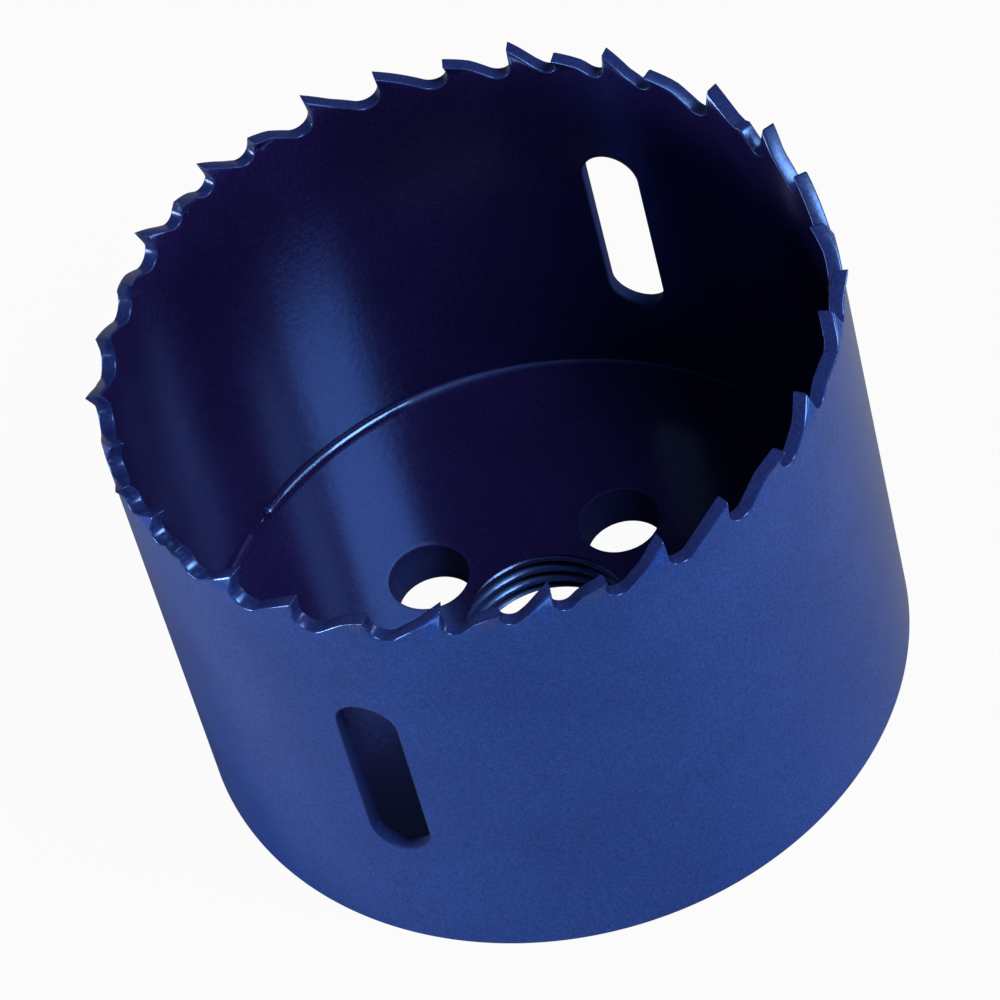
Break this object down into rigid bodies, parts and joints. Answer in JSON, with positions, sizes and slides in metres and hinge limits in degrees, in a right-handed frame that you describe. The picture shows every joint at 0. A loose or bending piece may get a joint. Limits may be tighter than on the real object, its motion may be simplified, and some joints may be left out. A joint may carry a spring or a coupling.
{
  "type": "hole saw",
  "caption": "Cup-shaped steel hole saw with set teeth round its rim, slots through its wall, and an end plate with a threaded arbor hole and drive-pin holes.",
  "frame": {"origin": "centre of the outer face of the end plate, on the cutting axis", "axes": "+Z along the cutting axis from the end plate to the teeth; +Y and -Y look through the middle of the slots"},
  "size_m": [0.0632, 0.0633, 0.0439],
  "materials": {
    "wall_paint": "satin dark blue paint over steel",
    "plate_paint": "satin dark blue paint over steel",
    "weld_paint": "painted weld bead, slightly glossier"
  },
  "bodies": {
    "root": {"saw_wall": "wall_paint", "end_plate": "plate_paint", "joint_weld": "weld_paint"}
  },
  "joints": []
}
